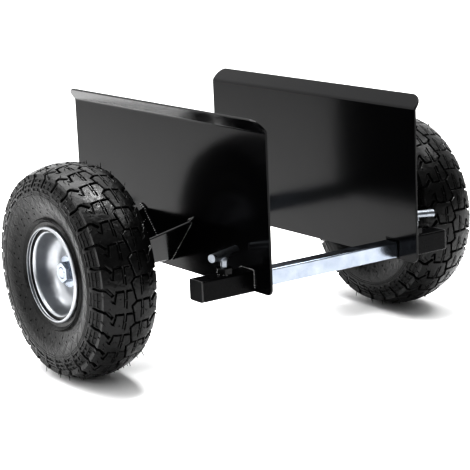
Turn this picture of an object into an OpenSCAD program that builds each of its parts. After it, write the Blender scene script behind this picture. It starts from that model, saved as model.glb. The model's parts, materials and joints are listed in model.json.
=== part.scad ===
// Adjustable two-wheel panel dolly: two flanged side plates on square cross tubes,
// each side plate carried by a pneumatic wheel on a gusseted stub axle.
// Millimetres. Origin on the floor midway between the wheels, +X across, +Y to the rear, +Z up.

/* [Overall] */
// Clear gap between the two side plates
load_gap = 218; // [180:1:262]
// Outer radius of the tyre, which is also the axle height
tyre_r = 130; // [124:0.5:140]
// Width of the tyre
tyre_w = 86; // [80:0.5:94]

/* [Side plate] */
// Length of a side plate, front to rear
plate_len = 420; // [390:1:504]
// Height from the bottom edge to the bend of the flange
plate_h = 190; // [158:1:228]
// Sheet thickness of the side plate
plate_t = 3; // [2.5:0.1:3.6]
// Height of the axle centre above the bottom edge
axle_above_edge = 18; // [17:0.5:21]
// Lean of the top flange from upright
flange_lean = 40; // [30:1:48]
// Straight part of the top flange above its bend
flange_len = 17.5; // [17:0.5:21]
// Inside radius of the flange bend
flange_bend_r = 4; // [3:0.5:5]
// Corner radius at the flange's ends
flange_corner_r = 16; // [10:0.5:17]
// Corner radius at the plate's bottom corners
foot_corner_r = 8; // [4:0.5:12]

/* [Sleeve and cross tube] */
// Outside size of the square sleeve
sleeve_w = 25; // [24:0.5:30]
// Wall of the square sleeve
sleeve_t = 2; // [1.6:0.1:2.2]
// Sleeve length from the inner face of the plate, without its plug
sleeve_len = 74.5; // [68:0.5:89]
// Distance of the sleeve centres from the middle of the plate
sleeve_y = 166; // [140:1:180]
// Outside size of the square cross tube
cross_w = 20; // [17:0.5:20.5]
// Wall of the cross tube
cross_t = 1.5; // [1.2:0.1:2]
// Length of a cross tube's end that lies beyond a plate's inner face
cross_in_sleeve = 57.5; // [52:0.5:58]
// Thickness of the plug's head
plug_head_t = 2.5; // [2:0.1:3]
// Depth of the plug inside the sleeve
plug_depth = 5; // [4:0.5:5]
// Corner radius of the square tubes
tube_corner_r = 2; // [1.8:0.1:2.4]

/* [Clamp screw] */
// Distance of the clamp screw from the plate's outer face
clamp_out = 33; // [30:0.5:36]
// Radius of the screw's spindle
spindle_r = 4.5; // [4:0.1:4.8]
// Height of the bar's centre above the sleeve
bar_rise = 23.5; // [20:0.5:28]
// Radius of the cross bar
bar_r = 5; // [4.5:0.1:5.5]
// Length of the cross bar
bar_len = 50; // [42:1:60]
// Turn of the cross bar about the spindle when tight
bar_turn = -21; // [-45:1:45]
// Size across the flats of the clamp nut
clamp_nut_af = 17; // [16:0.5:19]
// Height of the clamp nut
clamp_nut_h = 8; // [6.5:0.1:9]

/* [Axle bracket] */
// Length of the bracket from the plate to its outer end
bracket_len = 80; // [70:1:96]
// Sheet thickness of the bracket
bracket_t = 3; // [2.5:0.1:4]
// Rise of each leg from level
leg_rise = 48; // [42:1:52]
// Length of a leg at the plate
leg_long = 72; // [60:1:80]
// Length of a leg at the outer end
leg_short = 38; // [30:1:46]

/* [Axle and hub] */
// Radius of the stub axle's journal
axle_r = 7.5; // [7.5:0.5:8]
// Radius of the stub axle's threaded end
axle_end_r = 7; // [6.5:0.1:7.2]
// Width of the collar between bracket and inner bearing
collar_w = 3.9; // [3:0.1:5]
// Outer radius of the hub tube
hub_r = 20; // [19:0.5:22]
// Length of the hub tube
hub_len = 59; // [50:0.5:70]
// Distance from the wheel's middle to the hub's outer end
hub_out = 9.4; // [8:0.1:12]
// Outer radius of a wheel bearing
bearing_r = 17.5; // [17:0.1:17.8]
// Width of a wheel bearing
bearing_w = 11; // [10:0.5:12]
// Balls in each bearing
ball_count = 8; // [7:1:8]
// Radius of a bearing ball
ball_r = 3; // [2.8:0.1:3]
// Radius of the cover washer
washer_r = 19; // [16:0.5:20]
// Thickness of the cover washer
washer_t = 2.5; // [2:0.1:3]
// Size across the flats of the axle nut
axle_nut_af = 22; // [20:0.5:24]
// Height of the axle nut
axle_nut_h = 8; // [7:0.1:11]

/* [Rim] */
// Outer radius of the rim's rolled lip
lip_r = 58.5; // [58:0.1:60]
// Distance from the wheel's middle to the lip's outer edge
lip_out = 36.5; // [34:0.5:38]
// Radius of the seat under the tyre bead
seat_r = 50.8; // [50:0.1:51.2]
// Sheet thickness of the rim
rim_t = 2; // [1.6:0.1:2.2]
// Inside radius of the sweep from the bead seat into the disc
bowl_r = 16; // [12:0.5:18]
// Outer radius of the rolled edge of the lip
curl_r = 3.5; // [3:0.1:3.8]

/* [Tyre, tube and valve] */
// Radius of the rounded crown across the tread
crown_r = 75; // [66:1:90]
// Half width of the tread band
tread_half = 36; // [33:0.5:38]
// Depth of the grooves round the tread
groove_d = 5; // [4:0.5:6]
// Wall of the inner tube
tube_t = 2; // [1.6:0.1:2.4]
// Radius of the valve stem
valve_r = 4; // [3.5:0.1:4]

/* [Hidden] */
$fn = 96;
eps = 0.02;
run = 0.05;
axle_z = tyre_r;
plate_in = load_gap / 2;
plate_out = plate_in + plate_t;
plate_z = axle_z - axle_above_edge;
bend_c_x = plate_out + flange_bend_r;
bend_flats = 12;
bend_drop = (flange_bend_r + plate_t) * tan(flange_lean / 2);
bend_c_z = round((plate_z + plate_h - bend_drop) * 100) / 100;
sleeve_end = plate_in + sleeve_len;
sleeve_bore = sleeve_w - 2 * sleeve_t;
sleeve_top = plate_z + sleeve_w;
cross_z = plate_z + sleeve_t + eps;
cross_half = plate_in + cross_in_sleeve;
clamp_x = plate_out + clamp_out;
spindle_tip = cross_z + cross_w + eps;
bar_z = sleeve_top + bar_rise;
shoulder_z = bar_z - bar_r - 0.2;
tenon_r = bar_r / 2;
bracket_ri = axle_r + eps;
bracket_ro = bracket_ri + bracket_t;
bracket_end = plate_out + bracket_len;
recess = 0.5;
hub_in = hub_out - hub_len;
brg_out = hub_out - recess;
brg_in = hub_in + recess;
wheel_x = bracket_end + collar_w - brg_in;
race_in = axle_r + 3.1;
pitch_r = (race_in + bearing_r - 3.1) / 2;
race_out = bearing_r - 3.1;
washer_gap = 1;
nut_w = brg_out + washer_gap + washer_t;
wall_w = lip_out - 2 * curl_r;
side_r = 0.417 * (tyre_r - seat_r);
side_c = tyre_r - side_r - 1;
side_w = tyre_w / 2 - side_r;
foot_w = side_w + side_r * 0.86;
cavity_r = side_r - 7;
cavity_c = side_c - 4;
cavity_w = tyre_w / 2 - 5.5 - cavity_r;
bowl_c_w = bowl_r + rim_t + 0.05;
bowl_c_r = seat_r - rim_t - bowl_r;
sp = 0.4;

black = [0.05, 0.05, 0.055];
satin = [0.09, 0.09, 0.1];
zinc = [0.75, 0.76, 0.78];
rim_grey = [0.7, 0.71, 0.72];
rubber = [0.12, 0.12, 0.12];
tube_black = [0.07, 0.07, 0.07];
steel = [0.6, 0.6, 0.62];
brass = [0.75, 0.62, 0.3];
red_brown = [0.35, 0.12, 0.08];

// Places a right-hand shape on the right, or its mirror image on the left.
module left() {
  mirror([1, 0, 0]) children();
}

// Places a front shape at the rear.
module rear() {
  mirror([0, 1, 0]) children();
}

// Turns a shape made about +Z onto the wheel's axle; local z is the distance outboard.
module on_wheel() {
  translate([wheel_x, 0, axle_z]) rotate([0, 90, 0]) children();
}

module rounded_square(w, r) {
  union() {
    square([w, w - 2 * r], center = true);
    square([w - 2 * r, w], center = true);
    for (x = [-1, 1], y = [-1, 1])
      translate([x * (w / 2 - r), y * (w / 2 - r)]) circle(r = r);
  }
}

module square_tube(w, t, r) {
  difference() {
    rounded_square(w, r);
    rounded_square(w - 2 * t, max(r - t, 0.4));
  }
}

// Turns a profile drawn across the tube into a length along +X.
module along_x(x0, x1) {
  translate([x0, 0, 0]) rotate([90, 0, 90]) linear_extrude(height = x1 - x0) children();
}

module ring_quarter(ri, ro, qx, qy) {
  intersection() {
    difference() {
      circle(r = ro);
      circle(r = ri);
    }
    translate([qx < 0 ? -ro - 1 : 0, qy < 0 ? -ro - 1 : 0]) square(ro + 1);
  }
}

// A plain ring about +Z from z0 to z1.
module ring(ri, ro, z0, z1) {
  translate([0, 0, z0]) difference() {
    cylinder(r = ro, h = z1 - z0);
    translate([0, 0, -1]) cylinder(r = ri, h = z1 - z0 + 2);
  }
}

// ---- cross tubes ----

module cross_tube() {
  color(zinc)
    translate([0, -sleeve_y, cross_z + cross_w / 2])
      along_x(-cross_half, cross_half) square_tube(cross_w, cross_t, tube_corner_r);
}

// ---- side plate ----

// A point on the bend, by its radius and its turn from the upright web.
function on_bend(r, a) = [bend_c_x - r * cos(a), bend_c_z + r * sin(a)];

// Section across the plate: web, bend in short flats, and flared flange.
module plate_profile() {
  up = flange_len * [sin(flange_lean), cos(flange_lean)];
  step = flange_lean / bend_flats;
  polygon(concat(
    [[plate_in, plate_z], [plate_out, plate_z]],
    [for (i = [0 : bend_flats]) on_bend(flange_bend_r, i * step)],
    [on_bend(flange_bend_r, flange_lean) + up, on_bend(flange_bend_r + plate_t, flange_lean) + up],
    [for (i = [bend_flats : -1 : 0]) on_bend(flange_bend_r + plate_t, i * step)]
  ));
}

// The scrap left outside a rounded corner whose outer point is at the origin.
module corner_scrap(r) {
  difference() {
    translate([-1, -1]) square(r + 1);
    translate([r, r]) circle(r = r);
  }
}

module side_plate() {
  color(black) difference() {
    translate([0, plate_len / 2, 0])
      rotate([90, 0, 0]) linear_extrude(height = plate_len) plate_profile();
    for (s = [0, 1]) mirror([0, s, 0]) {
      translate([plate_in - 1, -plate_len / 2, plate_z])
        rotate([90, 0, 90]) linear_extrude(height = plate_t + 2) corner_scrap(foot_corner_r);
      translate([plate_in - 1, -sleeve_y - sleeve_w / 2 - eps, plate_z - 1])
        cube([plate_t + 2, sleeve_w + 2 * eps, sleeve_w + 1 + eps]);
      translate([bend_c_x, -plate_len / 2, bend_c_z])
        rotate([0, flange_lean, 0]) translate([-flange_bend_r - plate_t - 1, 0, flange_len])
          rotate([90, 0, 90]) linear_extrude(height = plate_t + 2)
            mirror([0, 1, 0]) corner_scrap(flange_corner_r);
    }
  }
}

// Part of a tube wall: an arc strip about +Z, open over the rest of the turn.
module wall_strip(ri, ro, a, h) {
  rotate_extrude(angle = a) translate([ri, 0]) square([ro - ri, h]);
}

// ---- sleeve, plug, clamp nut ----

module sleeve() {
  color(satin) difference() {
    translate([0, -sleeve_y, plate_z + sleeve_w / 2])
      along_x(plate_in, sleeve_end) square_tube(sleeve_w, sleeve_t, tube_corner_r);
    translate([clamp_x, -sleeve_y, sleeve_top - sleeve_t - 1])
      cylinder(r = spindle_r + 0.6, h = sleeve_t + 2);
  }
}

module sleeve_plug() {
  color(satin) translate([0, -sleeve_y, plate_z + sleeve_w / 2]) union() {
    along_x(sleeve_end, sleeve_end + plug_head_t) rounded_square(sleeve_w, tube_corner_r);
    along_x(sleeve_end - plug_depth, sleeve_end) rounded_square(sleeve_bore - 0.3, 0.5);
  }
}

module clamp_nut() {
  color(black) translate([clamp_x, -sleeve_y, sleeve_top]) difference() {
    cylinder(r = clamp_nut_af / 2 / cos(30), h = clamp_nut_h, $fn = 6);
    translate([0, 0, -1]) cylinder(r = spindle_r + run, h = clamp_nut_h + 2);
  }
}

// ---- clamp screw ----

module clamp_spindle() {
  color(zinc) translate([clamp_x, -sleeve_y, 0]) union() {
    translate([0, 0, spindle_tip + 1]) cylinder(r = spindle_r, h = shoulder_z - spindle_tip - 1);
    translate([0, 0, spindle_tip]) cylinder(r1 = spindle_r - 1, r2 = spindle_r, h = 1);
    translate([0, 0, shoulder_z]) cylinder(r = tenon_r, h = bar_r);
  }
}

module clamp_bar() {
  color(zinc) translate([clamp_x, -sleeve_y, bar_z]) rotate([0, 0, bar_turn]) difference() {
    union() {
      rotate([0, 90, 0]) cylinder(r = bar_r, h = bar_len, center = true);
      translate([0, 0, -bar_r - 2]) cylinder(r1 = spindle_r + 1.6, r2 = bar_r, h = 4.4);
    }
    translate([0, 0, -bar_r - 3]) cylinder(r = spindle_r + run, h = 3);
    translate([0, 0, -bar_r - 1]) cylinder(r = tenon_r + run, h = bar_r + 1);
  }
}

// ---- axle bracket ----

module bracket_leg() {
  rotate([0, 0, leg_rise]) translate([0, -bracket_ri, 0]) rotate([90, 0, 0])
    linear_extrude(height = bracket_t)
      polygon([[0, 0], [leg_long, 0], [leg_short, bracket_len], [0, bracket_len]]);
}

module axle_bracket() {
  color(black) translate([plate_out, 0, axle_z]) rotate([90, 0, 90]) union() {
    rotate([0, 0, 180 + 90 - leg_rise])
      wall_strip(bracket_ri, bracket_ro, 2 * leg_rise, bracket_len);
    bracket_leg();
    mirror([1, 0, 0]) bracket_leg();
  }
}

// ---- stub axle and what is fixed on it ----

module stub_axle() {
  color(zinc) on_wheel() union() {
    translate([0, 0, plate_out - wheel_x]) cylinder(r = axle_r, h = brg_out - plate_out + wheel_x);
    translate([0, 0, bracket_end - wheel_x]) cylinder(r = race_in - 0.1, h = collar_w);
    translate([0, 0, brg_out - 1]) cylinder(r = axle_end_r, h = nut_w + axle_nut_h + 0.5 - brg_out);
    translate([0, 0, nut_w + axle_nut_h - 0.5])
      cylinder(r1 = axle_end_r, r2 = axle_end_r - 1, h = 1);
  }
}

module bearing_inner(z0) {
  color(steel) translate([0, 0, z0]) rotate_extrude() difference() {
    translate([axle_r + eps, 0]) square([race_in - axle_r - eps, bearing_w]);
    translate([pitch_r, bearing_w / 2]) circle(r = ball_r + run);
  }
}

module bearing_inner_rings() {
  on_wheel() bearing_inner(brg_out - bearing_w);
  on_wheel() bearing_inner(brg_in);
}

module bearing_spacer() {
  color(steel) on_wheel() ring(axle_r + eps, axle_r + 2, brg_in + bearing_w, brg_out - bearing_w);
}

module cover_washer() {
  color(zinc) on_wheel() difference() {
    union() {
      translate([0, 0, brg_out]) cylinder(r = race_in - 0.8, h = washer_gap);
      translate([0, 0, brg_out + washer_gap]) cylinder(r = washer_r, h = washer_t);
    }
    translate([0, 0, brg_out - 1]) cylinder(r = axle_end_r + run, h = washer_gap + washer_t + 2);
  }
}

module axle_nut() {
  r = axle_nut_af / 2 / cos(30);
  color(zinc) on_wheel() translate([0, 0, nut_w]) difference() {
    intersection() {
      cylinder(r = r, h = axle_nut_h, $fn = 6);
      translate([0, 0, -r + axle_nut_h]) cylinder(r1 = r + 9.4, r2 = r - 0.9, h = r);
    }
    translate([0, 0, -1]) cylinder(r = axle_end_r + run, h = axle_nut_h + 2);
  }
}

// ---- wheel ----

module hub_tube() {
  color(rim_grey) on_wheel() rotate_extrude() difference() {
    translate([race_out + 1.1, hub_in]) square([hub_r - race_out - 1.1, hub_len]);
    translate([0, hub_in - 1]) square([bearing_r + eps, recess + bearing_w + 1.2]);
    translate([0, brg_out - bearing_w - 0.2]) square([bearing_r + eps, recess + bearing_w + 1.2]);
  }
}

module bearing_outer(z0) {
  color(steel) translate([0, 0, z0]) rotate_extrude() difference() {
    translate([race_out, 0]) square([bearing_r - race_out, bearing_w]);
    translate([pitch_r, bearing_w / 2]) circle(r = ball_r + run);
  }
}

module bearing_outer_rings() {
  on_wheel() bearing_outer(brg_out - bearing_w);
  on_wheel() bearing_outer(brg_in);
}

module bearing_balls() {
  color(steel) on_wheel()
    for (z = [brg_out - bearing_w / 2, brg_in + bearing_w / 2], i = [0 : ball_count - 1])
      rotate([0, 0, i * 360 / ball_count]) translate([pitch_r, 0, z]) sphere(r = ball_r, $fn = 20);
}

module bearing_seals() {
  color(red_brown) on_wheel()
    for (z = [brg_out - 0.9, brg_out - bearing_w + 0.1, brg_in + bearing_w - 0.9, brg_in + 0.1])
      ring(race_in + 0.15, race_out - eps, z, z + 0.8);
}

// Half of the pressed rim, drawn with radius along x and distance outboard along y.
module rim_profile() {
  rc = lip_r - curl_r;
  rw = curl_r - rim_t;
  f = 3;
  union() {
    translate([rc, lip_out - curl_r]) {
      ring_quarter(rw, curl_r, 1, 1);
      ring_quarter(rw, curl_r, 1, -1);
    }
    translate([seat_r + f, wall_w]) square([rc - seat_r - f, rim_t]);
    translate([seat_r + f, wall_w - f]) ring_quarter(f, f + rim_t, -1, 1);
    translate([seat_r - rim_t, bowl_c_w]) square([rim_t, wall_w - f - bowl_c_w]);
    translate([bowl_c_r, bowl_c_w]) ring_quarter(bowl_r, bowl_r + rim_t, 1, -1);
    translate([hub_r + eps, 0.05]) square([bowl_c_r - hub_r - eps, rim_t]);
  }
}

module rim_outer() {
  color(rim_grey) on_wheel() rotate_extrude() rim_profile();
}

// Line of the valve: from the sweep's centre out through the sweep at 45 degrees.
module on_valve() {
  translate([bowl_c_r, 0, -bowl_c_w]) rotate([0, 45, 0]) children();
}

module rim_inner() {
  color(rim_grey) on_wheel() difference() {
    mirror([0, 0, 1]) rotate_extrude() rim_profile();
    on_valve() translate([0, 0, 6]) cylinder(r = valve_r + 0.2, h = bowl_r + 2);
  }
}

module valve_stem() {
  color(tube_black) on_wheel() on_valve() translate([0, 0, -3]) cylinder(r = valve_r, h = bowl_r + 11);
}

module valve_cap() {
  color(tube_black) on_wheel() on_valve() difference() {
    translate([0, 0, -6]) cylinder(r = valve_r + 1.2, h = 9);
    translate([0, 0, -3 - eps]) cylinder(r = valve_r + eps, h = 9);
  }
}

module tyre_outline() {
  union() {
    intersection() {
      translate([tyre_r - crown_r, 0]) circle(r = crown_r);
      translate([side_c, -tread_half]) square([tyre_r, 2 * tread_half]);
    }
    for (s = [-1, 1]) translate([side_c, s * side_w]) circle(r = side_r);
    translate([side_c - side_r, -side_w]) square([2 * side_r, 2 * side_w]);
    polygon([[lip_r + sp, 17], [side_c, side_w], [side_c - 16, foot_w], [lip_r + sp, lip_out - 2]]);
    polygon([[lip_r + sp, -17], [lip_r + sp, 2 - lip_out], [side_c - 16, -foot_w], [side_c, -side_w]]);
    for (s = [-1, 1])
      translate([seat_r + 0.05, s > 0 ? 17 : -wall_w + 0.1]) square([12, wall_w - 17.1]);
  }
}

module tyre_cavity(g) {
  union() {
    for (s = [-1, 1]) translate([cavity_c, s * cavity_w]) circle(r = cavity_r - g);
    translate([cavity_c - cavity_r + g, -cavity_w]) square([2 * (cavity_r - g), 2 * cavity_w]);
    translate([seat_r + 0.6 + g, -16 + g]) square([cavity_c - seat_r - 2 * g, 32 - 2 * g]);
  }
}

module tyre() {
  color(rubber) on_wheel() rotate_extrude() difference() {
    tyre_outline();
    tyre_cavity(0);
    translate([0, -17]) square([seat_r + 9, 34]);
    for (s = [-1, 0, 1])
      translate([(s == 0 ? tyre_r : tyre_r - 3.4) - groove_d, s * 22 - 1.2]) square([20, 2.4]);
    for (s = [-1, 1])
      translate([0, s > 0 ? wall_w - 3.2 : -wall_w + 3.2 - 40]) difference() {
        square([seat_r + 3.1, 40]);
        translate([seat_r + 3.1, s > 0 ? 0 : 40]) circle(r = 3.1);
      }
  }
}

module inner_tube() {
  color(tube_black) on_wheel() difference() {
    rotate_extrude() difference() {
      tyre_cavity(0.3);
      tyre_cavity(0.3 + tube_t);
    }
    on_valve() translate([0, 0, 6]) cylinder(r = valve_r + eps, h = bowl_r + 2 - eps);
  }
}

cross_tube();  // cross_tube_front
rear() cross_tube();  // cross_tube_rear

left() side_plate();  // side_plate_left
left() sleeve();  // sleeve_front_left
left() rear() sleeve();  // sleeve_rear_left
left() { sleeve_plug(); rear() sleeve_plug(); }  // sleeve_plugs_left
left() { clamp_nut(); rear() clamp_nut(); }  // clamp_nuts_left
left() axle_bracket();  // axle_bracket_left
left() stub_axle();  // stub_axle_left
left() bearing_inner_rings();  // bearing_inner_rings_left
left() bearing_spacer();  // bearing_spacer_left
left() cover_washer();  // cover_washer_left
left() axle_nut();  // axle_nut_left

side_plate();  // side_plate_right
sleeve();  // sleeve_front_right
rear() sleeve();  // sleeve_rear_right
union() { sleeve_plug(); rear() sleeve_plug(); }  // sleeve_plugs_right
union() { clamp_nut(); rear() clamp_nut(); }  // clamp_nuts_right
axle_bracket();  // axle_bracket_right
stub_axle();  // stub_axle_right
bearing_inner_rings();  // bearing_inner_rings_right
bearing_spacer();  // bearing_spacer_right
cover_washer();  // cover_washer_right
axle_nut();  // axle_nut_right

left() tyre();  // tyre_left
left() inner_tube();  // inner_tube_left
left() rim_outer();  // rim_outer_left
left() rim_inner();  // rim_inner_left
left() hub_tube();  // hub_tube_left
left() bearing_outer_rings();  // bearing_outer_rings_left
left() bearing_balls();  // bearing_balls_left
left() bearing_seals();  // bearing_seals_left
left() valve_stem();  // valve_stem_left
left() valve_cap();  // valve_cap_left

tyre();  // tyre_right
inner_tube();  // inner_tube_right
rim_outer();  // rim_outer_right
rim_inner();  // rim_inner_right
hub_tube();  // hub_tube_right
bearing_outer_rings();  // bearing_outer_rings_right
bearing_balls();  // bearing_balls_right
bearing_seals();  // bearing_seals_right
valve_stem();  // valve_stem_right
valve_cap();  // valve_cap_right

left() clamp_spindle();  // clamp_spindle_front_left
left() rear() clamp_spindle();  // clamp_spindle_rear_left
clamp_spindle();  // clamp_spindle_front_right
rear() clamp_spindle();  // clamp_spindle_rear_right
left() clamp_bar();  // clamp_bar_front_left
left() rear() clamp_bar();  // clamp_bar_rear_left
clamp_bar();  // clamp_bar_front_right
rear() clamp_bar();  // clamp_bar_rear_right
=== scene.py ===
import json
import math

import bmesh
import bpy
from mathutils import Matrix, Vector
from mathutils.geometry import delaunay_2d_cdt


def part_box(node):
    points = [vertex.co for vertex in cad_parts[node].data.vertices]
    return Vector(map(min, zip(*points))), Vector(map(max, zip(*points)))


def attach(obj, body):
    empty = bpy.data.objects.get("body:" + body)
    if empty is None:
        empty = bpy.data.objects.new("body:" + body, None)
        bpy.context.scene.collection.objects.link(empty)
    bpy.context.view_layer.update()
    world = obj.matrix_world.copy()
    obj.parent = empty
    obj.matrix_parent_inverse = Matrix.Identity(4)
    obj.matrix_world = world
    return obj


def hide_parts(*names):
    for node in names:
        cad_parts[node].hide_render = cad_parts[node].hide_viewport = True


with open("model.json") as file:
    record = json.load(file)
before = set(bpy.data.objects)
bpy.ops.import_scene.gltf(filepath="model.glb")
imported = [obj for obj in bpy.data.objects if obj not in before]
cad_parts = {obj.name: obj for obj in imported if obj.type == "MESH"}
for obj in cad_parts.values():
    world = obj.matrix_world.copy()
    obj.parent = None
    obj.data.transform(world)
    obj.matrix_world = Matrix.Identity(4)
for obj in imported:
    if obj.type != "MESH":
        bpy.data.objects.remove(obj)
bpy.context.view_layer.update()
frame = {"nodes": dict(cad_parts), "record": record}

# ---- Camera ----
# A long lens in front of the left-hand wheel, a little above the dolly. It looks slightly down and
# is turned a little about its own axis.
scene = bpy.context.scene
camera_place = Vector((-1.22459, -1.7266, 0.6131))
heading, tilt, roll = (math.radians(angle) for angle in (35.09, 12.79, -2.42))
forward = Vector((
    math.sin(heading) * math.cos(tilt), math.cos(heading) * math.cos(tilt), -math.sin(tilt)))
level_right = forward.cross(Vector((0, 0, 1))).normalized()
level_up = level_right.cross(forward)
right = level_right * math.cos(roll) + level_up * math.sin(roll)
upward = level_up * math.cos(roll) - level_right * math.sin(roll)
camera = bpy.data.objects.new("camera", bpy.data.cameras.new("camera"))
camera.data.sensor_width = 36
camera.data.lens = 130.4
camera.matrix_world = (
    Matrix.Translation(camera_place) @ Matrix((right, upward, -forward)).transposed().to_4x4())
scene.collection.objects.link(camera)
scene.camera = camera

# ---- Studio ----
# A wide white table under a white sky that is brightest behind the dolly and dims towards the
# camera, as in a shooting tent that is open in front. A broad soft box and a smaller, stronger one
# hang overhead, one stands at the left, and a small one at the right picks out the tread's edges.


def colour(code):
    """Turns an sRGB hex colour into the linear values that a shader takes."""
    channels = [int(code[i:i + 2], 16) / 255 for i in (0, 2, 4)]
    linear = [c / 12.92 if c <= 0.04045 else ((c + 0.055) / 1.055) ** 2.4 for c in channels]
    return (*linear, 1)


def add(tree, kind, links=None, **settings):
    """Adds a node; links gives each input a value, or the output that feeds it."""
    made = tree.nodes.new(kind)
    for name, value in settings.items():
        setattr(made, name, value)
    for key, value in (links or {}).items():
        if isinstance(value, bpy.types.NodeSocket):
            tree.links.new(value, made.inputs[key])
        else:
            made.inputs[key].default_value = value
    return made


def finish(name, **values):
    """Starts a material: returns it with its tree, its shader and its object coordinates."""
    material = bpy.data.materials.new(name)
    material.use_nodes = True
    tree = material.node_tree
    shader = tree.nodes["Principled BSDF"]
    for key, value in values.items():
        shader.inputs[key.replace("_", " ")].default_value = value
    where = add(tree, "ShaderNodeTexCoord").outputs["Object"]
    return material, tree, shader, where


# White laminate table top: matt, with a very faint cloudiness.
table_white, tree, shader, where = finish("table_white_laminate", Roughness=0.6)
clouds = add(tree, "ShaderNodeTexNoise", {"Vector": where, "Scale": 1.5, "Detail": 2})
tint = add(tree, "ShaderNodeMix", {0: clouds.outputs["Fac"], 6: colour("F4F4F4"), 7: colour("F8F8F8")},
           data_type="RGBA")
tree.links.new(tint.outputs[2], shader.inputs["Base Color"])

FLOOR_HALF = 20
floor_mesh = bpy.data.meshes.new("table")
floor_mesh.from_pydata(
    [(x * FLOOR_HALF, y * FLOOR_HALF, 0) for x, y in ((-1, -1), (1, -1), (1, 1), (-1, 1))],
    [], [(0, 1, 2, 3)])
floor_mesh.materials.append(table_white)
floor = bpy.data.objects.new("table", floor_mesh)
scene.collection.objects.link(floor)

sky = bpy.data.worlds.new("white_sky")
sky.use_nodes = True
tent = sky.node_tree
way = add(tent, "ShaderNodeTexCoord").outputs["Generated"]
BRIGHT_WAY = (-0.15, 0.85, 0.5)
SKY_DIM, SKY_BRIGHT = 0.14, 1.6
facing = add(tent, "ShaderNodeVectorMath", {0: way, 1: BRIGHT_WAY}, operation="DOT_PRODUCT")
glow = add(tent, "ShaderNodeMapRange",
           {"Value": facing.outputs["Value"], "From Min": -0.5, "From Max": 0.6,
            "To Min": SKY_DIM, "To Max": SKY_BRIGHT})
backdrop = tent.nodes["Background"]
backdrop.inputs["Color"].default_value = colour("FFFFFF")
tent.links.new(glow.outputs["Result"], backdrop.inputs["Strength"])
scene.world = sky
scene.view_settings.view_transform = "Standard"
scene.view_settings.look = "High Contrast"

# Each soft box has its place, the point that it faces, its width in metres and its power in watts.
soft_boxes = {
    "overhead": ((-0.3, 0.5, 2.4), (0, 0, 0.1), 1.9, 60),
    "sparkle": ((0.3, -0.1, 2.45), (-0.1, 0, 0.1), 0.45, 34),
    "edges": ((1.2, -0.7, 2.1), (-0.245, -0.1, 0.13), 0.55, 13),
    "left_hand": ((-2.6, -0.6, 1.3), (0, 0, 0.15), 1.0, 9),
}
for name, (stand, aim, width, watts) in soft_boxes.items():
    lamp = bpy.data.lights.new(name, "AREA")
    lamp.size = width
    lamp.energy = watts
    lamp_object = bpy.data.objects.new(name, lamp)
    direction = Vector(aim) - Vector(stand)
    lamp_object.matrix_world = (
        Matrix.Translation(stand) @ direction.to_track_quat("-Z", "Y").to_matrix().to_4x4())
    scene.collection.objects.link(lamp_object)

# ---- Cross tubes ----
# Two lengths of 20 mm square steel tube, drawn and then bright zinc plated. They lie loose in the
# sleeves of both side plates, and the clamp screws press on their top faces.
MM = 0.001
body_of_node = {
    node: body for body, nodes in frame["record"]["behaviour"]["bodies"].items() for node in nodes}

# Bright zinc over drawn tube: a pale blue-white mirror, clouded, with fine lines along the tube.
zinc_plate, tree, shader, where = finish("bright_zinc_plate", Metallic=1, Roughness=0.2)
DRAW_LINE_SPACING = 0.6 * MM
BLOOM_SIZE = 14 * MM
draw_lines = add(tree, "ShaderNodeMapping", {"Vector": where, "Scale": (0.02, 1, 1)})
fine_lines = add(tree, "ShaderNodeTexNoise",
                 {"Vector": draw_lines.outputs[0], "Scale": 1 / DRAW_LINE_SPACING, "Detail": 3})
bloom = add(tree, "ShaderNodeTexNoise", {"Vector": where, "Scale": 1 / BLOOM_SIZE, "Detail": 4})
zinc_tint = add(tree, "ShaderNodeMix",
                {0: bloom.outputs["Fac"], 6: colour("757C87"), 7: colour("A3A9B2")}, data_type="RGBA")
zinc_gloss = add(tree, "ShaderNodeMapRange",
                 {"Value": bloom.outputs["Fac"], "To Min": 0.12, "To Max": 0.3})
line_bump = add(tree, "ShaderNodeBump",
                {"Height": fine_lines.outputs["Fac"], "Strength": 0.25, "Distance": 0.02 * MM})
tree.links.new(zinc_tint.outputs[2], shader.inputs["Base Color"])
tree.links.new(zinc_gloss.outputs["Result"], shader.inputs["Roughness"])
tree.links.new(line_bump.outputs["Normal"], shader.inputs["Normal"])


def settled(draft, name):
    """Turns a draft object and its modifiers into a plain mesh piece, and throws the draft away."""
    scene.collection.objects.link(draft)
    evaluated = draft.evaluated_get(bpy.context.evaluated_depsgraph_get())
    mesh = bpy.data.meshes.new_from_object(evaluated)
    mesh.name = name
    bpy.data.objects.remove(draft)
    piece = bpy.data.objects.new(name, mesh)
    scene.collection.objects.link(piece)
    return piece


# Corners closer than this are one, and facets within this angle are one flat face.
MERGE_GAP = 0.002 * MM
FLAT_WITHIN = math.radians(0.4)


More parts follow.
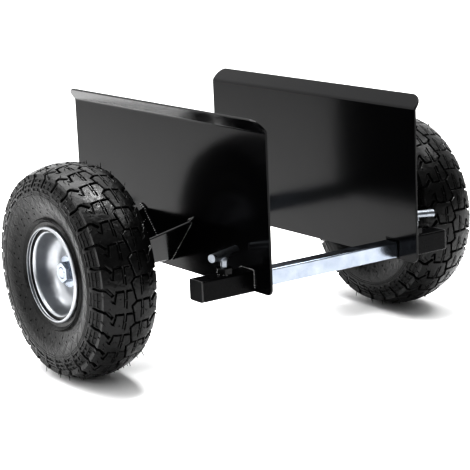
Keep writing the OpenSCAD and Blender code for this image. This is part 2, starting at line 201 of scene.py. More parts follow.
def eased(node, edge, material, smooth=30):
    """Replaces a CAD piece by a copy whose sharp edges are eased, as paint or plating leaves them."""
    mesh = frame["nodes"][node].data.copy()
    work = bmesh.new()
    work.from_mesh(mesh)
    bmesh.ops.remove_doubles(work, verts=work.verts, dist=MERGE_GAP)
    bmesh.ops.dissolve_limit(work, angle_limit=FLAT_WITHIN, verts=work.verts, edges=work.edges)
    work.to_mesh(mesh)
    work.free()
    mesh.materials.clear()
    mesh.materials.append(material)
    draft = bpy.data.objects.new(node, mesh)
    easing = draft.modifiers.new("eased edges", "BEVEL")
    easing.width = edge
    easing.segments = 2
    easing.limit_method = "ANGLE"
    easing.angle_limit = math.radians(smooth)
    rounded = settled(draft, node + "_rounded")
    rounded.data.polygons.foreach_set("use_smooth", [True] * len(rounded.data.polygons))
    rounded.data.set_sharp_from_angle(angle=math.radians(smooth))
    flatness = rounded.modifiers.new("flat faces stay flat", "WEIGHTED_NORMAL")
    flatness.keep_sharp = True
    scene.collection.objects.unlink(rounded)
    piece = settled(rounded, node + "_eased")
    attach(piece, body_of_node[node])
    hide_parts(node)


for end in ("front", "rear"):
    eased(f"cross_tube_{end}", 0.25 * MM, zinc_plate)

# ---- Side plates ----
# 3 mm sheet steel, laser cut, with the top flange folded outwards to guide the load in, then powder
# coated gloss black. The panel stands between the two plates.
SIDES = {"left": -1, "right": 1}

# Gloss powder coat over steel: a deep black mirror, rippled by orange peel, with a few dust nibs.
gloss_black, tree, shader, where = finish(
    "gloss_black_powder_coat", Roughness=0.15, Specular_IOR_Level=0.2)
PEEL_SIZE = 2.6 * MM
WAVE_SIZE = 55 * MM
NIB_SPACING = 9 * MM
peel = add(tree, "ShaderNodeTexNoise", {"Vector": where, "Scale": 1 / PEEL_SIZE, "Detail": 1.5})
sheet_wave = add(tree, "ShaderNodeTexNoise", {"Vector": where, "Scale": 1 / WAVE_SIZE, "Detail": 1})
nibs = add(tree, "ShaderNodeTexVoronoi", {"Vector": where, "Scale": 1 / NIB_SPACING})
nib_height = add(tree, "ShaderNodeMapRange",
                 {"Value": nibs.outputs["Distance"], "From Min": 0, "From Max": 0.05,
                  "To Min": 1, "To Max": 0})
wave_bump = add(tree, "ShaderNodeBump",
                {"Height": sheet_wave.outputs["Fac"], "Strength": 0.5, "Distance": 0.3 * MM})
peel_bump = add(tree, "ShaderNodeBump",
                {"Height": peel.outputs["Fac"], "Strength": 0.6, "Distance": 0.022 * MM,
                 "Normal": wave_bump.outputs["Normal"]})
nib_bump = add(tree, "ShaderNodeBump",
               {"Height": nib_height.outputs["Result"], "Strength": 0.5, "Distance": 0.06 * MM,
                "Normal": peel_bump.outputs["Normal"]})
black_tint = add(tree, "ShaderNodeMix",
                 {0: peel.outputs["Fac"], 6: colour("020203"), 7: colour("060607")}, data_type="RGBA")
tree.links.new(black_tint.outputs[2], shader.inputs["Base Color"])
tree.links.new(nib_bump.outputs["Normal"], shader.inputs["Normal"])

for side in SIDES:
    eased(f"side_plate_{side}", 0.6 * MM, gloss_black, smooth=25)

# ---- Sleeves and their plugs ----
# 25 mm square tube, let into notches at the foot of each plate and welded, with black plastic plugs
# pressed into the outer ends. The tube is painted in satin black.

# Satin enamel over steel tube: softer reflections than the plates, slightly uneven.
FLOW_SIZE = 6 * MM
satin_black, tree, shader, where = finish("satin_black_enamel", Roughness=0.3, Specular_IOR_Level=0.1)
paint_flow = add(tree, "ShaderNodeTexNoise", {"Vector": where, "Scale": 1 / FLOW_SIZE, "Detail": 3})
satin_tint = add(tree, "ShaderNodeMix",
                 {0: paint_flow.outputs["Fac"], 6: colour("020203"), 7: colour("060607")},
                 data_type="RGBA")
satin_gloss = add(tree, "ShaderNodeMapRange",
                  {"Value": paint_flow.outputs["Fac"], "To Min": 0.2, "To Max": 0.4})
flow_bump = add(tree, "ShaderNodeBump",
                {"Height": paint_flow.outputs["Fac"], "Strength": 0.3, "Distance": 0.05 * MM})
tree.links.new(satin_tint.outputs[2], shader.inputs["Base Color"])
tree.links.new(satin_gloss.outputs["Result"], shader.inputs["Roughness"])
tree.links.new(flow_bump.outputs["Normal"], shader.inputs["Normal"])

# Moulded polyethylene: matt black with a fine spark-eroded grain.
plug_black, tree, shader, where = finish("moulded_black_polyethylene", Roughness=0.45, IOR=1.51)
GRAIN = 0.5 * MM
grain = add(tree, "ShaderNodeTexNoise", {"Vector": where, "Scale": 1 / GRAIN, "Detail": 2})
grain_tint = add(tree, "ShaderNodeMix",
                 {0: grain.outputs["Fac"], 6: colour("0A0A0B"), 7: colour("161617")}, data_type="RGBA")
grain_bump = add(tree, "ShaderNodeBump",
                 {"Height": grain.outputs["Fac"], "Strength": 0.4, "Distance": 0.04 * MM})
tree.links.new(grain_tint.outputs[2], shader.inputs["Base Color"])
tree.links.new(grain_bump.outputs["Normal"], shader.inputs["Normal"])

for side in SIDES:
    for end in ("front", "rear"):
        eased(f"sleeve_{end}_{side}", 0.3 * MM, satin_black, smooth=40)
    eased(f"sleeve_plugs_{side}", 0.5 * MM, plug_black, smooth=40)

# ---- Axle brackets and clamp nuts ----
# Each wheel hangs on a V of 3 mm sheet, bent round the stub axle and welded to the plate by its legs.
# A plain hexagon nut is welded on top of each sleeve. Both are coated with the plate.
for side in SIDES:
    eased(f"axle_bracket_{side}", 0.5 * MM, gloss_black, smooth=40)
    eased(f"clamp_nuts_{side}", 0.4 * MM, gloss_black, smooth=40)

# ---- Welds ----
# Hand-laid rippled beads, coated over with the rest: along both faces of the axle bracket's legs,
# with a few drops at their upper ends, over the sleeves where they pass the plate, and four tacks
# at each clamp nut.

# Powder coat pooled between the ripples of a weld: thicker and glassier than on the flat sheet, so
# every ripple carries its own spark of light.
pooled_black, tree, shader, where = finish(
    "pooled_black_powder_coat", Roughness=0.08, Specular_IOR_Level=1.0)
POOL_SIZE = 3 * MM
pools = add(tree, "ShaderNodeTexNoise", {"Vector": where, "Scale": 1 / POOL_SIZE, "Detail": 2})
pool_tint = add(tree, "ShaderNodeMix",
                {0: pools.outputs["Fac"], 6: colour("020202"), 7: colour("080809")}, data_type="RGBA")
pool_bump = add(tree, "ShaderNodeBump",
                {"Height": pools.outputs["Fac"], "Strength": 0.6, "Distance": 0.5 * MM})
tree.links.new(pool_tint.outputs[2], shader.inputs["Base Color"])
tree.links.new(pool_bump.outputs["Normal"], shader.inputs["Normal"])


def weld_bead_tree():
    """Ripples of weld metal laid one over the next along a seam, each a little different."""
    tree = bpy.data.node_groups.new("weld_bead", "GeometryNodeTree")
    face = tree.interface
    names = (("Seam", "NodeSocketGeometry"), ("Ripple spacing", "NodeSocketFloat"),
             ("Bead radius", "NodeSocketFloat"), ("Seed", "NodeSocketInt"),
             ("Finish", "NodeSocketMaterial"))
    keys = {n: face.new_socket(n, in_out="INPUT", socket_type=kind).identifier for n, kind in names}
    face.new_socket("Bead", in_out="OUTPUT", socket_type="NodeSocketGeometry")
    given = add(tree, "NodeGroupInput").outputs
    path = add(tree, "GeometryNodeMeshToCurve", {"Mesh": given["Seam"]})
    stops = add(tree, "GeometryNodeCurveToPoints",
                {"Curve": path.outputs[0], "Length": given["Ripple spacing"]}, mode="LENGTH")
    ripple = add(tree, "GeometryNodeMeshIcoSphere",
                 {"Radius": given["Bead radius"], "Subdivisions": 2})
    wander = add(tree, "FunctionNodeRandomValue", {2: 0.6, 3: 1.3, "Seed": given["Seed"]},
                 data_type="FLOAT")
    flat = add(tree, "ShaderNodeVectorMath", {0: (1, 0.75, 0.9), "Scale": wander.outputs[1]},
               operation="SCALE")
    laid = add(tree, "GeometryNodeInstanceOnPoints",
               {"Points": stops.outputs["Points"], "Instance": ripple.outputs[0],
                "Rotation": stops.outputs["Rotation"], "Scale": flat.outputs[0]})
    real = add(tree, "GeometryNodeRealizeInstances", {0: laid.outputs[0]})
    smooth = add(tree, "GeometryNodeSetShadeSmooth", {0: real.outputs[0]})
    dressed = add(tree, "GeometryNodeSetMaterial",
                  {0: smooth.outputs[0], "Material": given["Finish"]})
    add(tree, "NodeGroupOutput", {0: dressed.outputs[0]})
    return tree, keys


bead_tree, bead_keys = weld_bead_tree()


def weld(name, seams, spacing, radius, side, seed):
    """Lays one bead piece along several seams, each a list of points, on one side plate."""
    points, edges = [], []
    for seam in seams:
        start = len(points)
        points += seam
        edges += [(start + i, start + i + 1) for i in range(len(seam) - 1)]
    mesh = bpy.data.meshes.new(name)
    mesh.from_pydata(points, edges, [])
    draft = bpy.data.objects.new(name, mesh)
    bead = draft.modifiers.new("bead", "NODES")
    bead.node_group = bead_tree
    for key, value in (("Ripple spacing", spacing), ("Bead radius", radius), ("Seed", seed),
                       ("Finish", pooled_black)):
        bead[bead_keys[key]] = value
    piece = settled(draft, name)
    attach(piece, f"side_{side}")


# The bracket's legs: their slope and sheet, and how far the beads lie off the leg and the plate and
# stop short of the leg's end.
LEG_RISE = math.radians(48)
LEG_SHARES = [i / 12 for i in range(13)]
SHEET = 3 * MM
OFF_LEG = 0.4 * MM
OFF_PLATE = 0.6 * MM
SHORT_OF_END = 2 * MM
# The drops start past the leg's upper end and step back down it.
DROPS = 4
DROP_OFF_PLATE = 0.8 * MM
DROP_PAST, DROP_ABOVE = 2 * MM, 3 * MM
DROP_STEP_BACK, DROP_STEP_DOWN = 3.1 * MM, 1.7 * MM
# The collar of weld over a sleeve.
COLLAR_OFF_PLATE = 0.5 * MM
COLLAR_OFF_SLEEVE = 1 * MM
COLLAR_FOOT = 6 * MM
COLLAR_CORNER = 1.5 * MM
COLLAR_TOP = 0.8 * MM
# The tacks at a nut: their middles' distance from the screw, their half length, and their places.
TACK_REACH = 8.6 * MM
TACK_HALF = 2 * MM
TACK_PLACES = (0, 60, 180, 240)
for side, sign in SIDES.items():
    bracket_low, bracket_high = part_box(f"axle_bracket_{side}")
    hub_low, hub_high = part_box(f"hub_tube_{side}")
    axle_height = (hub_low[2] + hub_high[2]) / 2
    plate_face = sign * min(abs(bracket_low[0]), abs(bracket_high[0]))
    bracket_half = (bracket_high[1] - bracket_low[1]) / 2
    outer_bend = axle_height - bracket_low[2]
    seams = []
    for bend in (outer_bend + OFF_LEG, outer_bend - SHEET - OFF_LEG):
        run = (bracket_half - bend * math.sin(LEG_RISE)) / math.cos(LEG_RISE) - SHORT_OF_END
        for lean in (-1, 1):
            seams.append([(plate_face + sign * OFF_PLATE,
                           lean * (bend * math.sin(LEG_RISE) + t * run * math.cos(LEG_RISE)),
                           axle_height - bend * math.cos(LEG_RISE) + t * run * math.sin(LEG_RISE))
                          for t in LEG_SHARES])
    weld(f"weld_bracket_{side}", seams, 3.2 * MM, 1.9 * MM, side, seed=3)
    drops = [[(plate_face + sign * DROP_OFF_PLATE,
               lean * (bracket_half + DROP_PAST - k * DROP_STEP_BACK),
               bracket_high[2] + DROP_ABOVE - k * DROP_STEP_DOWN) for k in range(DROPS)]
             for lean in (-1, 1)]
    weld(f"weld_spatter_{side}", drops, 3.3 * MM, 2.5 * MM, side, seed=8)
    collar, tacks = [], []
    for end in ("front", "rear"):
        low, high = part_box(f"sleeve_{end}_{side}")
        edge = plate_face + sign * COLLAR_OFF_PLATE
        collar.append([(edge, low[1] - COLLAR_OFF_SLEEVE, low[2] + COLLAR_FOOT),
                       (edge, low[1] - COLLAR_OFF_SLEEVE, high[2]),
                       (edge, low[1] + COLLAR_CORNER, high[2] + COLLAR_TOP),
                       (edge, high[1] - COLLAR_CORNER, high[2] + COLLAR_TOP),
                       (edge, high[1] + COLLAR_OFF_SLEEVE, high[2]),
                       (edge, high[1] + COLLAR_OFF_SLEEVE, low[2] + COLLAR_FOOT)])
        screw_low, screw_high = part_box(f"clamp_spindle_{end}_{side}")
        nut_x = (screw_low[0] + screw_high[0]) / 2
        nut_y = (low[1] + high[1]) / 2
        for turn in TACK_PLACES:
            at = math.radians(turn)
            spot = Vector((nut_x + TACK_REACH * math.cos(at), nut_y + TACK_REACH * math.sin(at),
                           high[2] + OFF_LEG))
            half_tack = Vector((-TACK_HALF * math.sin(at), TACK_HALF * math.cos(at), 0))
            tacks.append([spot + half_tack, spot - half_tack])
    weld(f"weld_sleeves_{side}", collar, 3.1 * MM, 2.0 * MM, side, seed=5)
    weld(f"weld_nut_tacks_{side}", tacks, 1.9 * MM, 1.6 * MM, side, seed=7)

# ---- Stub axle, cover washer and nut ----
# A 15 mm steel axle in the bend of the bracket, with a collar against the inner bearing, a 38 mm
# cover washer and a thin M14 nut outside. All are zinc plated.
for side in SIDES:
    eased(f"stub_axle_{side}", 0.2 * MM, zinc_plate, smooth=40)
    eased(f"cover_washer_{side}", 0.3 * MM, zinc_plate, smooth=40)
    eased(f"axle_nut_{side}", 0.25 * MM, zinc_plate, smooth=25)

# ---- Bearings ----
# Two deep-groove ball bearings in each hub with rubber seals, and a spacer tube between their inner
# rings. The rings and balls are ground chrome steel.

# Ground bearing steel: grey and bright, with a fine mottle left by the grinding and the grease.
bearing_steel, tree, shader, where = finish("ground_bearing_steel", Metallic=1, Roughness=0.22)
ground = add(tree, "ShaderNodeTexNoise", {"Vector": where, "Scale": 1 / (0.8 * MM), "Detail": 2})
ground_tint = add(tree, "ShaderNodeMix",
                  {0: ground.outputs["Fac"], 6: colour("9A9C9F"), 7: colour("C4C6C9")},
                  data_type="RGBA")
tree.links.new(ground_tint.outputs[2], shader.inputs["Base Color"])

# Nitrile seal: a dull red-brown rubber.
seal_rubber, tree, shader, where = finish("nitrile_seal_rubber", Roughness=0.6)
seal_cloud = add(tree, "ShaderNodeTexNoise", {"Vector": where, "Scale": 1 / (3 * MM), "Detail": 2})
seal_tint = add(tree, "ShaderNodeMix",
                {0: seal_cloud.outputs["Fac"], 6: colour("4A1C14"), 7: colour("5E2A1E")},
                data_type="RGBA")
tree.links.new(seal_tint.outputs[2], shader.inputs["Base Color"])

bearing_parts = {
    "bearing_inner_rings": bearing_steel,
    "bearing_outer_rings": bearing_steel,
    "bearing_balls": bearing_steel,
    "bearing_spacer": bearing_steel,
    "bearing_seals": seal_rubber,
}
for side in SIDES:
    for part, material in bearing_parts.items():
        node = frame["nodes"][f"{part}_{side}"]
        node.data.materials.clear()
        node.data.materials.append(material)

# ---- Rims and hub tubes ----
# Each rim is two halves pressed from 2 mm sheet with a rolled lip and a deep dish, welded to the hub
# tube, galvanised and left bright. The press leaves soft rings round the dish.


MEET_GAP = 0.004 * MM


def ring_tree():
    """Copies of one piece set round the axle, joined up where their edges meet."""
    tree = bpy.data.node_groups.new("round_the_axle", "GeometryNodeTree")
    face = tree.interface
    names = (("Piece", "NodeSocketGeometry"), ("Count", "NodeSocketInt"),
             ("Lean", "NodeSocketFloat"), ("Seed", "NodeSocketInt"),
             ("Finish", "NodeSocketMaterial"))
    keys = {n: face.new_socket(n, in_out="INPUT", socket_type=kind).identifier for n, kind in names}
    face.new_socket("Ring", in_out="OUTPUT", socket_type="NodeSocketGeometry")
    given = add(tree, "NodeGroupInput").outputs
    spots = add(tree, "GeometryNodePoints", {"Count": given["Count"]})
    index = add(tree, "GeometryNodeInputIndex")
    step = add(tree, "ShaderNodeMath", {0: 2 * math.pi, 1: given["Count"]}, operation="DIVIDE")
    turn = add(tree, "ShaderNodeMath", {0: index.outputs[0], 1: step.outputs[0]},
               operation="MULTIPLY")
    least = add(tree, "ShaderNodeMath", {0: given["Lean"], 1: -1}, operation="MULTIPLY")
    stray = add(tree, "FunctionNodeRandomValue",
                {2: least.outputs[0], 3: given["Lean"], "Seed": given["Seed"]}, data_type="FLOAT")
    total = add(tree, "ShaderNodeMath", {0: turn.outputs[0], 1: stray.outputs[1]}, operation="ADD")
    spin = add(tree, "ShaderNodeCombineXYZ", {"X": total.outputs[0]})
    ring = add(tree, "GeometryNodeInstanceOnPoints",
               {"Points": spots.outputs[0], "Instance": given["Piece"], "Rotation": spin.outputs[0]})
    real = add(tree, "GeometryNodeRealizeInstances", {0: ring.outputs[0]})
    joined = add(tree, "GeometryNodeMergeByDistance", {0: real.outputs[0], "Distance": MEET_GAP})
    dressed = add(tree, "GeometryNodeSetMaterial",
                  {0: joined.outputs[0], "Material": given["Finish"]})
    add(tree, "NodeGroupOutput", {0: dressed.outputs[0]})
    return tree, keys


copies_tree, copies_keys = ring_tree()


def round_the_axle(name, points, faces, count, material, side, lean=0.0, seed=1, smooth=30):
    """Sets count copies of a piece round a wheel's axle. Points are (outboard, front, up) in metres."""
    mesh = bpy.data.meshes.new(name)
    mesh.from_pydata([(-out, -front, high) for out, front, high in points], [], faces)
    draft = bpy.data.objects.new(name, mesh)
    copies = draft.modifiers.new("copies", "NODES")
    copies.node_group = copies_tree
    for key, value in (("Count", count), ("Lean", lean), ("Seed", seed), ("Finish", material)):
        copies[copies_keys[key]] = value
    piece = settled(draft, name)
    low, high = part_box(f"tyre_{side}")
    middle = Vector([(a + b) / 2 for a, b in zip(low, high)])
    half_turn = Matrix.Rotation(0 if side == "left" else math.pi, 4, "Z")
    piece.data.transform(Matrix.Translation(middle) @ half_turn)
    work = bmesh.new()
    work.from_mesh(piece.data)
    bmesh.ops.recalc_face_normals(work, faces=work.faces)
    work.to_mesh(piece.data)
    work.free()
    piece.data.polygons.foreach_set("use_smooth", [True] * len(piece.data.polygons))
    piece.data.set_sharp_from_angle(angle=math.radians(smooth))
    return piece


# Galvanised pressing: a soft silver mirror, with spun rings and a faint cloudy bloom.
rim_steel, tree, shader, where = finish("galvanised_pressed_steel", Metallic=1, Roughness=0.34)
RING_SPACING = 2.2 * MM
CLOUD_SIZE = 11 * MM
apart = add(tree, "ShaderNodeSeparateXYZ", {"Vector": where})
low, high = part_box("tyre_left")
axle_height = (low[2] + high[2]) / 2
drop = add(tree, "ShaderNodeMath", {0: apart.outputs["Z"], 1: axle_height}, operation="SUBTRACT")
flat_place = add(tree, "ShaderNodeCombineXYZ", {"Y": apart.outputs["Y"], "Z": drop.outputs[0]})
radius = add(tree, "ShaderNodeVectorMath", {0: flat_place.outputs[0]}, operation="LENGTH")
ring_place = add(tree, "ShaderNodeCombineXYZ", {"X": radius.outputs["Value"]})
rings = add(tree, "ShaderNodeTexNoise",
            {"Vector": ring_place.outputs[0], "Scale": 1 / RING_SPACING, "Detail": 3})
cloud = add(tree, "ShaderNodeTexNoise", {"Vector": where, "Scale": 1 / CLOUD_SIZE, "Detail": 4})
rim_tint = add(tree, "ShaderNodeMix",
               {0: cloud.outputs["Fac"], 6: colour("929497"), 7: colour("B0B2B5")}, data_type="RGBA")
rim_gloss = add(tree, "ShaderNodeMapRange",
                {"Value": cloud.outputs["Fac"], "To Min": 0.32, "To Max": 0.42})
ring_bump = add(tree, "ShaderNodeBump",
                {"Height": rings.outputs["Fac"], "Strength": 0.3, "Distance": 0.03 * MM})
tree.links.new(rim_tint.outputs[2], shader.inputs["Base Color"])
tree.links.new(rim_gloss.outputs["Result"], shader.inputs["Roughness"])
tree.links.new(ring_bump.outputs["Normal"], shader.inputs["Normal"])

for side in SIDES:
    for part in ("rim_outer", "rim_inner", "hub_tube"):
        eased(f"{part}_{side}", 0.15 * MM, rim_steel, smooth=50)

# ---- Tyres ----
# Moulded black rubber, 29 pitches round. A saw-toothed groove parts two rows of slit blocks, and a
# gap runs from between the shoulder blocks down over the sidewall, which has pockets beside the gap,
# then two ribs, a lattice of faint lines and small pits.
PITCHES = 29
low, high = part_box("tyre_left")
OUTER = (high[2] - low[2]) / 2
HALF = (high[0] - low[0]) / 2
PITCH = 2 * math.pi * OUTER / PITCHES
STEPS_ALONG = 8
# The crown's radius and the half width of the tread that lies on it.
CROWN = 75 * MM
BAND = 37.5 * MM
# The sidewall is an arc of radius SIDE_R, whose middle is SIDE_W outboard and SIDE_C up.
SIDE_R = 33.03 * MM
SIDE_C = OUTER - SIDE_R - 1 * MM
SIDE_W = HALF - SIDE_R
SHOULDER = 116.2 * MM


def on_tread(along, across, sunk):
    """A point on the crown, by its arc from the middle and its depth under the tread."""
    lean = across / CROWN
    return (CROWN - sunk) * math.sin(lean), OUTER - CROWN + (CROWN - sunk) * math.cos(lean), along


# The arc's two ends in radians, then the nearly flat foot that runs on from it to the rim.
SIDE_START = math.asin((SHOULDER - SIDE_C) / SIDE_R)
SIDE_STOP = -0.52
SIDE_RUN = (SIDE_START - SIDE_STOP) * SIDE_R
FOOT_RUN = 13 * MM
FOOT_LEAN = 0.75
SIDE_END = SIDE_RUN + FOOT_RUN


def on_side(along, down, sunk):
    """A point on the sidewall, by its way down from the shoulder and its depth under the surface."""
    if down <= SIDE_RUN:
        lean = SIDE_START - down / SIDE_R
        reach = SIDE_R - sunk
        return SIDE_W + reach * math.cos(lean), SIDE_C + reach * math.sin(lean), along
    base_w = SIDE_W + (SIDE_R - sunk) * math.cos(SIDE_STOP)
    base_r = SIDE_C + (SIDE_R - sunk) * math.sin(SIDE_STOP)
    run = down - SIDE_RUN
    return base_w + run * math.sin(SIDE_STOP) * FOOT_LEAN, base_r - run * math.cos(SIDE_STOP), along


# The least share that a mitre's stretch is worked out from, at an open end and at a bend.
END_SHARE, BEND_SHARE = 0.4, 0.5


def strip(path, half, open_ends=(False, False)):
    """The outline of a line of a given half width, mitred at its bends.

    An open end stops square on the pitch's border, so that it meets the next pitch or patch."""
    ways = [(b - a).normalized() for a, b in zip(path, path[1:])]
    first, last = path[0], path[-1]
    if not open_ends[0]:
        first = first - ways[0] * half
    if not open_ends[1]:
        last = last + ways[-1] * half
    points = [first, *path[1:-1], last]
    left, right_side = [], []
    for i, point in enumerate(points):
        before = ways[max(i - 1, 0)]
        after = ways[min(i, len(ways) - 1)]
        mid = (before + after).normalized()
        normal = Vector((-mid.y, mid.x))
        if i == 0 and open_ends[0] or i == len(points) - 1 and open_ends[1]:
            flatter = abs(normal.x) > abs(normal.y)
            square = Vector((normal.x, 0)) if flatter else Vector((0, normal.y))
            stretch = 1 / max(square.length, END_SHARE)
            normal = square.normalized()
        else:
            stretch = 1 / max(mid.dot(after), BEND_SHARE)
        left.append(point + normal * half * stretch)
        right_side.append(point - normal * half * stretch)
    outline = left + right_side[::-1]
    area = sum(a.cross(b) for a, b in zip(outline, outline[1:] + outline[:1]))
    return outline if area > 0 else outline[::-1]


def pitch_patch(lines, across, steps_across):
    """One pitch of surface with lines pressed into it, as points with a depth and triangles.

    Each line is (points, open ends, levels), and its levels are (half width, depth), widest first."""
    points, faces, tags = [], [], []
    for path, ends, levels in lines:
        for half, depth in levels:
            outline = strip([Vector(p) for p in path], half, ends)
            faces.append(list(range(len(points), len(points) + len(outline))))
            tags.append(depth)
            points += outline
    near, far = across
    for i in range(steps_across + 1):
        for j in range(STEPS_ALONG + 1):
            points.append(Vector((near + (far - near) * i / steps_across, PITCH * j / STEPS_ALONG)))
    scaled = [p / MM for p in points]
    verts, _, tris, _, _, owners = delaunay_2d_cdt(scaled, [], faces, 0, 1e-5)
    depths = [0] * len(verts)
    for tri, owner in zip(tris, owners):
        deepest = max((tags[k] for k in owner), default=0, key=abs)
        for v in tri:
            depths[v] = max(depths[v], deepest, key=abs)
    return [(p * MM, depth) for p, depth in zip(verts, depths)], [list(t) for t in tris]


# A tooth swings by TOOTH either way: slowly over TOOTH_BACK of a pitch, and quickly over the rest.
TOOTH = 3 * MM
TOOTH_BACK = 0.83
TOOTH_START = 0.08


def tooth(t):
    """The middle groove's way off centre, at a share t of a pitch."""
    share = (t + TOOTH_START) % 1
    if share < TOOTH_BACK:
        return TOOTH - 2 * TOOTH * share / TOOTH_BACK
    return -TOOTH + 2 * TOOTH * (share - TOOTH_BACK) / (1 - TOOTH_BACK)


# Cuts in the tread, each with its half widths and depths from the top down.
GROOVE = [(1.8 * MM, 0), (1.0 * MM, 0.8 * MM), (0.75 * MM, 3.6 * MM)]
SLIT = [(1.0 * MM, 0), (0.75 * MM, 0.3 * MM), (0.55 * MM, 2.6 * MM)]
FINE_SLIT = [(0.6 * MM, 0), (0.4 * MM, 1.6 * MM)]
GAP = [(2.3 * MM, 0), (1.6 * MM, 0.9 * MM), (1.1 * MM, 3.8 * MM)]
# Where each row of blocks starts, as a share of a pitch: 1 is the outboard row, -1 the inboard one.
# A shoulder gap reaches the tread's border GAP_BACK before its row's start.
ROWS = {1: 0.25, -1: 0.75}
GAP_BACK = 0.12


def in_row(way, levels, *spots, open_end=False):
    """Lines of one row from spots in (mm, share of a pitch), cut in two where they pass its end."""
    path = [(way * a * MM, (b + ROWS[way]) * PITCH) for a, b in spots]
    if path[-1][1] <= PITCH or path[0][1] >= PITCH:
        wrap = PITCH if path[0][1] >= PITCH else 0
        return [([(a, b - wrap) for a, b in path], (False, open_end), levels)]
    (a0, b0), (a1, b1) = path[-2:]
    cut = a0 + (a1 - a0) * (PITCH - b0) / (b1 - b0)
    return [(path[:-1] + [(cut, PITCH)], (False, True), levels),
            ([(cut, 0), (a1, b1 - PITCH)], (True, False), levels)]


def tread_lines():
    """The lines of one pitch of tread as (across, along) points, the outboard row first."""
    middle = [(tooth(t), t * PITCH) for t in (0, 0.25, 0.5, 0.75, 0.92, 1)]
    lines = [(middle, (True, True), GROOVE)]
    for way, shift in ROWS.items():
        inner = abs(tooth(shift)) / MM - 0.2 if way < 0 else -0.2
        lines += in_row(way, GROOVE, (inner, 0), (9.0, 0))
        lines += in_row(way, GROOVE, (13.6, 0), (22.2, 0))
        lines += in_row(way, GROOVE, (22.4, 0.0), (24.8, 0.46))
        lines += in_row(way, SLIT, (9.7, 0.0), (9.9, 0.32))
        lines += in_row(way, SLIT, (9.9, 0.44), (10.1, 0.74))
        lines += in_row(way, FINE_SLIT, (12.9, 0.08), (13.1, 0.66))
        lines += in_row(way, SLIT, (26.8, 0.44), (28.6, 0.34))
        lines += in_row(way, GAP, (27.6, 0.12), (33.5, -GAP_BACK), (BAND / MM, -GAP_BACK),
                        open_end=True)
    return lines


# A block leans by RAMP from end to end, less and less over the last RAMP_FADE before RAMP_EDGE.
RAMP = 0.45 * MM
RAMP_EDGE = 30 * MM
RAMP_FADE = 4 * MM


def ramp(across, along):
    """How far a block's leading end lies under its trailing end, fading out at the shoulders."""
    share = (along / PITCH - ROWS[1 if across > 0 else -1]) % 1
    fade = min(1, max(0, (RAMP_EDGE - abs(across)) / RAMP_FADE))
    return RAMP * (1 - share) * fade


crown, crown_faces = pitch_patch(tread_lines(), (-BAND, BAND), 20)
crown = [(spot, sunk + ramp(spot.x, spot.y)) for spot, sunk in crown]

# Marks in the sidewall, in the same form. A depth under nought stands out.
POCKET = [(1.8 * MM, 0), (1.2 * MM, 1.0 * MM)]
RAISED = [(0.8 * MM, 0), (0.35 * MM, -0.45 * MM)]
FAINT = [(1.0 * MM, 0), (0.3 * MM, -0.2 * MM)]
PIT = [(1.1 * MM, 0), (0.6 * MM, 0.7 * MM)]


def down_side(levels, *spots, open_ends=(False, False)):
    """One line of the sidewall, from spots in (mm down from the shoulder, share of a pitch)."""
    return [(down * MM, share * PITCH) for down, share in spots], open_ends, levels


def side_lines(gap_at):
    """The lines of one pitch of sidewall: the gap, pockets beside it, ribs, the lattice and pits."""
    lines = [down_side(GAP, (0, gap_at), (5, gap_at), (10, gap_at - 0.06), open_ends=(True, False))]
    for down in (3.4, 8.8, 14.2):
        for start, stop in ((0.2, 0.47), (0.61, 0.84)):
            start, stop = (gap_at + start) % 1, (gap_at + stop) % 1
            if start < stop:
                lines.append(down_side(POCKET, (down, start), (down, stop)))
            else:
                lines.append(down_side(POCKET, (down, start), (down, 1), open_ends=(False, True)))
                lines.append(down_side(POCKET, (down, 0), (down, stop), open_ends=(True, False)))
    for down in (18.4, 21.0):
        lines.append(down_side(RAISED, (down, 0), (down, 1), open_ends=(True, True)))
    for start, stop in ((23, 39), (39, 23)):
        lines.append(down_side(FAINT, (start, 0), (31, 0.5), (stop, 1), open_ends=(True, True)))
    for down, at in ((37, 0.5), (44, 0.2)):
        lines.append(down_side(PIT, (down, at), (down, at + 0.03)))
    return lines


# The sidewall sinks by SUNK over a run of SUNK_RUN, from SUNK_FROM down from the shoulder.
SUNK = 0.5 * MM
SUNK_FROM = 14 * MM
SUNK_RUN = 3 * MM


def sink(down):
    """How far the plain sidewall lies under its ribs, so that they stand no wider than the tyre."""
    return SUNK * min(1, max(0, (down - SUNK_FROM) / SUNK_RUN))


tyre_points, tyre_faces = [], []


def place(across, radius_here, along):
    """Bends a point of the pitch round the axle: (outboard, front, up)."""
    turn = along / OUTER
    return across, radius_here * math.sin(turn), radius_here * math.cos(turn)


def keep(points, faces, mapping, mirror=1):
    """Adds a patch to the tyre and returns the number of its first point."""
    start = len(tyre_points)
    for spot, sunk in points:
        across, radius_here, along = mapping(spot.y, spot.x, sunk)
        tyre_points.append(place(mirror * across, radius_here, along))
    tyre_faces.extend([[start + k for k in face] for face in faces])
    return start


ON_BORDER = 1e-7


def border(points, start, at):
    """The points of a patch along one border, in order round the tyre."""
    found = [(spot.y, start + i) for i, (spot, _) in enumerate(points) if abs(spot.x - at) < ON_BORDER]
    return [k for _, k in sorted(found)]


def bridge(one, other):
    """Joins two borders that have the same number of points."""
    for (a, b), (c, d) in zip(zip(one, one[1:]), zip(other, other[1:])):
        tyre_faces.append([a, b, d, c])


first = keep(crown, crown_faces, on_tread)
